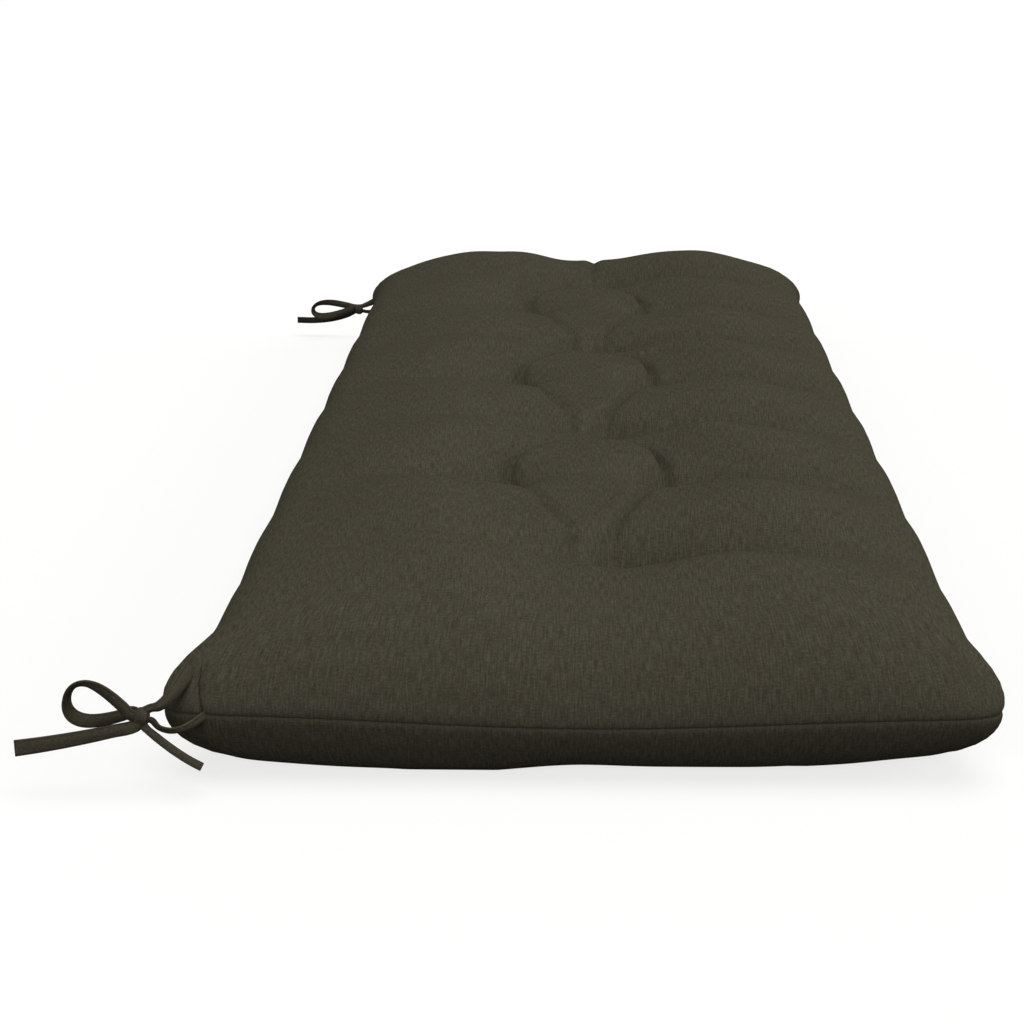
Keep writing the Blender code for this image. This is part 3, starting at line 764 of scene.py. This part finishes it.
def seam_puckers(tree, lengths, height):
    """The cloth gathered by the rim's seam: low folds across the seam, fading away from it."""
    apart, long = 1000 / PUCKER_APART_MM, 1000 / PUCKER_LONG_MM
    plane = add(tree, "ShaderNodeCombineXYZ", {0: lengths[0], 1: lengths[1]}).outputs[0]
    at_ends = lengths[1], CLOTH_HALF_LENGTH, (apart, long, 1.0)
    at_sides = lengths[0], CLOTH_HALF_WIDTH, (long, apart, 1.0)
    for across, rim, scale in (at_ends, at_sides):
        stretched = add(tree, "ShaderNodeMapping", {"Vector": plane, "Scale": scale}).outputs[0]
        gathers = add(tree, "ShaderNodeTexNoise", {"Vector": stretched, "Scale": 1.0, "Detail": 1.0})
        out = add(tree, "ShaderNodeMath", {0: across}, operation="ABSOLUTE").outputs[0]
        near = add(tree, "ShaderNodeMapRange", {0: out, 1: rim - PUCKER_REACH, 2: rim, 3: 0.0, 4: PUCKER_MM},
                   interpolation_type="SMOOTHSTEP").outputs[0]
        height = add(tree, "ShaderNodeMath", {0: gathers.outputs["Fac"], 1: near, 2: height},
                     operation="MULTIPLY_ADD").outputs[0]
    return height


def sewn_groove_with_painted_shade(tree, sewn, sunk_mm, colour, height):
    """The mark of a sewn line on the cloth, from its share from 0 to 1: sunken by so much, with painted shade
    in it.
    """
    deep = add(tree, "ShaderNodeMath", {0: sewn, 1: -sunk_mm, 2: height}, operation="MULTIPLY_ADD")
    shaded = add(tree, "ShaderNodeMath", {0: sewn, 1: SEWN_PAINTED_SHADE_SHARE}, operation="MULTIPLY").outputs[0]
    dark = add(tree, "ShaderNodeMix", {"Factor": shaded, "A": colour, "B": linear(SEWN_PAINTED_SHADE)},
               data_type="RGBA").outputs[2]
    return dark, deep.outputs[0]


def corner_dart(tree, lengths, colour, height):
    """The short sewn dart that squares the near left corner: a narrow groove in the top panel, with painted
    shade.

    It runs up from the rim's seam and bends out by the square of the way along it.
    """
    u, v = lengths
    way = add(tree, "ShaderNodeMapRange",
              {0: v, 1: -CLOTH_HALF_LENGTH, 2: -CLOTH_HALF_LENGTH + DART_LENGTH}).outputs[0]
    bend = add(tree, "ShaderNodeMath", {0: way, 1: 2.0}, operation="POWER").outputs[0]
    middle = add(tree, "ShaderNodeMath", {0: bend, 1: DART_BEND, 2: DART_PLACE}, operation="MULTIPLY_ADD")
    beside = add(tree, "ShaderNodeMath", {0: u, 1: middle.outputs[0]}, operation="SUBTRACT").outputs[0]
    away = add(tree, "ShaderNodeMath", {0: beside}, operation="ABSOLUTE").outputs[0]
    groove = add(tree, "ShaderNodeMapRange", {0: away, 1: 0.0, 2: DART_HALF_WIDTH, 3: 1.0, 4: 0.0},
                 interpolation_type="SMOOTHSTEP").outputs[0]
    before_end = add(tree, "ShaderNodeMapRange",
                     {0: way, 1: DART_ENDS_FROM, 2: 1.0, 3: 1.0, 4: 0.0}).outputs[0]
    place = add(tree, "ShaderNodeTexCoord").outputs["Object"]
    z = add(tree, "ShaderNodeSeparateXYZ", {0: place}).outputs[2]
    on_top = add(tree, "ShaderNodeMath", {0: z, 1: SEAM_HEIGHT}, operation="GREATER_THAN").outputs[0]
    sewn = add(tree, "ShaderNodeMath", {0: groove, 1: before_end}, operation="MULTIPLY").outputs[0]
    sewn = add(tree, "ShaderNodeMath", {0: sewn, 1: on_top}, operation="MULTIPLY").outputs[0]
    return sewn_groove_with_painted_shade(tree, sewn, DART_SUNK_MM, colour, height)


def edge_stitches(tree, lengths, colour, height):
    """A band's two rows of stitches, one in from each edge: a sine along them, a peak across them."""
    across = add(tree, "ShaderNodeMath", {0: lengths[0]}, operation="ABSOLUTE").outputs[0]
    beside = add(tree, "ShaderNodeMath", {0: across, 1: BAND_WIDTH / 2 - STITCH_INSET}, operation="SUBTRACT")
    away = add(tree, "ShaderNodeMath", {0: beside.outputs[0]}, operation="ABSOLUTE").outputs[0]
    row = add(tree, "ShaderNodeMapRange", {0: away, 1: 0.0, 2: STITCH_HALF_WIDTH, 3: 1.0, 4: 0.0}).outputs[0]
    per_metre = 2 * math.pi / STITCH_LENGTH
    phase = add(tree, "ShaderNodeMath", {0: lengths[1], 1: per_metre}, operation="MULTIPLY").outputs[0]
    wave = add(tree, "ShaderNodeMath", {0: phase}, operation="SINE").outputs[0]
    pull = add(tree, "ShaderNodeMapRange", {0: wave, 1: -1.0, 2: 1.0, 3: BETWEEN_STITCHES, 4: 1.0})
    stitch = add(tree, "ShaderNodeMath", {0: row, 1: pull.outputs[0]}, operation="MULTIPLY").outputs[0]
    # The stitches are darkened with the sewn lines' painted shade.
    return sewn_groove_with_painted_shade(tree, stitch, STITCH_SUNK_MM, colour, height)


def new_material(name):
    """A material with nodes, and its node tree."""
    made = bpy.data.materials.new(name)
    made.use_nodes = True
    return made, made.node_tree


def matt_cloth(tree, colour, height):
    """A dry cloth surface: no shine, its relief in millimetres."""
    shader = tree.nodes["Principled BSDF"]
    bump = add(tree, "ShaderNodeBump", {"Height": height, "Strength": 1.0, "Distance": 0.001})
    tree.links.new(colour, shader.inputs["Base Color"])
    tree.links.new(bump.outputs[0], shader.inputs["Normal"])
    shader.inputs["Roughness"].default_value = CLOTH_ROUGHNESS
    shader.inputs["Specular IOR Level"].default_value = 0.0


def cushion_canvas():
    """Melange polyester canvas of the cover, gathered at the seam and sewn into a dart at a near corner."""
    made, tree = new_material("melange polyester canvas")
    lengths, colour, height = melange_weave(tree, COVER_WEAVE)
    height = seam_puckers(tree, lengths, height)
    colour, height = corner_dart(tree, lengths, colour, height)
    matt_cloth(tree, colour, height)
    return made


def band_canvas():
    """The same canvas folded into narrow bands, finer and darker to the eye, stitched along each edge."""
    made, tree = new_material("tie band of the same canvas")
    lengths, colour, height = melange_weave(tree, BAND_WEAVE)
    colour, height = edge_stitches(tree, lengths, colour, height)
    matt_cloth(tree, colour, height)
    return made


def backdrop_paper():
    """Matt white backdrop paper, dry and without shine: its grey and its glow together look white."""
    made, tree = new_material("matt white backdrop paper")
    shader = tree.nodes["Principled BSDF"]
    shader.inputs["Base Color"].default_value = linear(PAPER_GREY)
    shader.inputs["Roughness"].default_value = PAPER_ROUGHNESS
    shader.inputs["Specular IOR Level"].default_value = 0.0
    shader.inputs["Emission Color"].default_value = linear(PAPER_GLOW)
    shader.inputs["Emission Strength"].default_value = LIT_FROM_BELOW
    return made


def build_camera():
    """The camera at the photograph's place."""
    data = bpy.data.cameras.new("camera")
    data.lens = FOCAL_LENGTH_MM
    data.sensor_width = FRAME_MM
    made = bpy.data.objects.new("camera", data)
    turned = (Matrix.Rotation(math.radians(CAMERA_LEFT), 4, "Z")
              @ Matrix.Rotation(math.radians(90 - CAMERA_DOWN), 4, "X")
              @ Matrix.Rotation(math.radians(CAMERA_ROLL), 4, "Z"))
    made.matrix_world = Matrix.Translation(CAMERA_PLACE) @ turned
    bpy.context.scene.collection.objects.link(made)
    bpy.context.scene.camera = made


def build_ties():
    """The two ties: four bands and the two knots they are tied in, in place of their solids."""
    weave = band_canvas()
    knots = {}
    for name, place, lean, solid, band in KNOTS:
        knots[band] = knot_mesh(name, place, lean)
        knots[band].data.materials.append(weave)
        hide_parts(solid)
        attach(knots[band], "root")
    for name, parts, length, far_end, solids in BANDS:
        points, turns, widths = band_route(parts)
        made = band_mesh(name, points, turns, widths)
        made.data.materials.append(weave)
        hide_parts(*solids)
        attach(made, "root")


def build_cushion():
    """The filled cushion, in place of its solid."""
    made = closed_grid("cushion_cover", *cushion_surface())
    made.data.materials.append(cushion_canvas())
    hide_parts("cushion")
    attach(made, "root")


def build_floor():
    """A pale, plain studio floor that throws no light of its own on the cushion."""
    corners = np.array([(-1, -1), (1, -1), (1, 1), (-1, 1)]) * FLOOR_HALF_SIZE
    points = np.column_stack([corners, np.full(4, FLOOR_TOP)])
    floor = mesh_of("floor", points, np.array([[0, 1, 2, 3]]), corners)
    floor.data.materials.append(backdrop_paper())
    floor.visible_diffuse = False


def soft_light(name, round_to, up, strength, across):
    """A wide far light: its direction by two angles, and the angle it fills, which softens its shadows."""
    data = bpy.data.lights.new(name, "SUN")
    data.energy = strength
    data.angle = math.radians(across)
    made = bpy.data.objects.new(name, data)
    towards = Vector((math.cos(math.radians(up)) * math.cos(math.radians(round_to)),
                      math.cos(math.radians(up)) * math.sin(math.radians(round_to)),
                      math.sin(math.radians(up))))
    turned = towards.to_track_quat("Z", "Y").to_matrix().to_4x4()
    made.matrix_world = Matrix.Translation(towards * LIGHT_DISTANCE) @ turned
    bpy.context.scene.collection.objects.link(made)


def build_lights():
    """Soft studio light: a wide ceiling, low boxes right, left, behind and near the camera, a white room."""
    world = bpy.data.worlds.new("studio")
    world.use_nodes = True
    tree = world.node_tree
    direction = add(tree, "ShaderNodeTexCoord").outputs["Generated"]
    height = add(tree, "ShaderNodeSeparateXYZ", {0: direction}).outputs[2]
    share = add(tree, "ShaderNodeMath", {0: height, 1: 0.5, 2: 0.5}, operation="MULTIPLY_ADD").outputs[0]
    ramp = add(tree, "ShaderNodeValToRGB", {"Fac": share})
    stops = zip(ramp.color_ramp.elements, (HORIZON_FROM, HORIZON_TO), (LIGHT_FROM_BELOW, LIGHT_FROM_ABOVE))
    for stop, place, light in stops:
        stop.position = place
        stop.color = (light, light, light, 1.0)
    seen = add(tree, "ShaderNodeLightPath").outputs["Is Camera Ray"]
    shown = add(tree, "ShaderNodeMix", {"Factor": seen, "A": ramp.outputs[0], "B": linear(ROOM_WHITE)},
                data_type="RGBA")
    tree.links.new(shown.outputs[2], tree.nodes["Background"].inputs["Color"])
    tree.nodes["Background"].inputs["Strength"].default_value = 1.0
    bpy.context.scene.world = world
    for light in SOFT_LIGHTS:
        soft_light(*light)
    bpy.context.scene.view_settings.view_transform = "Standard"


build_camera()
build_ties()
build_cushion()
build_floor()
build_lights()
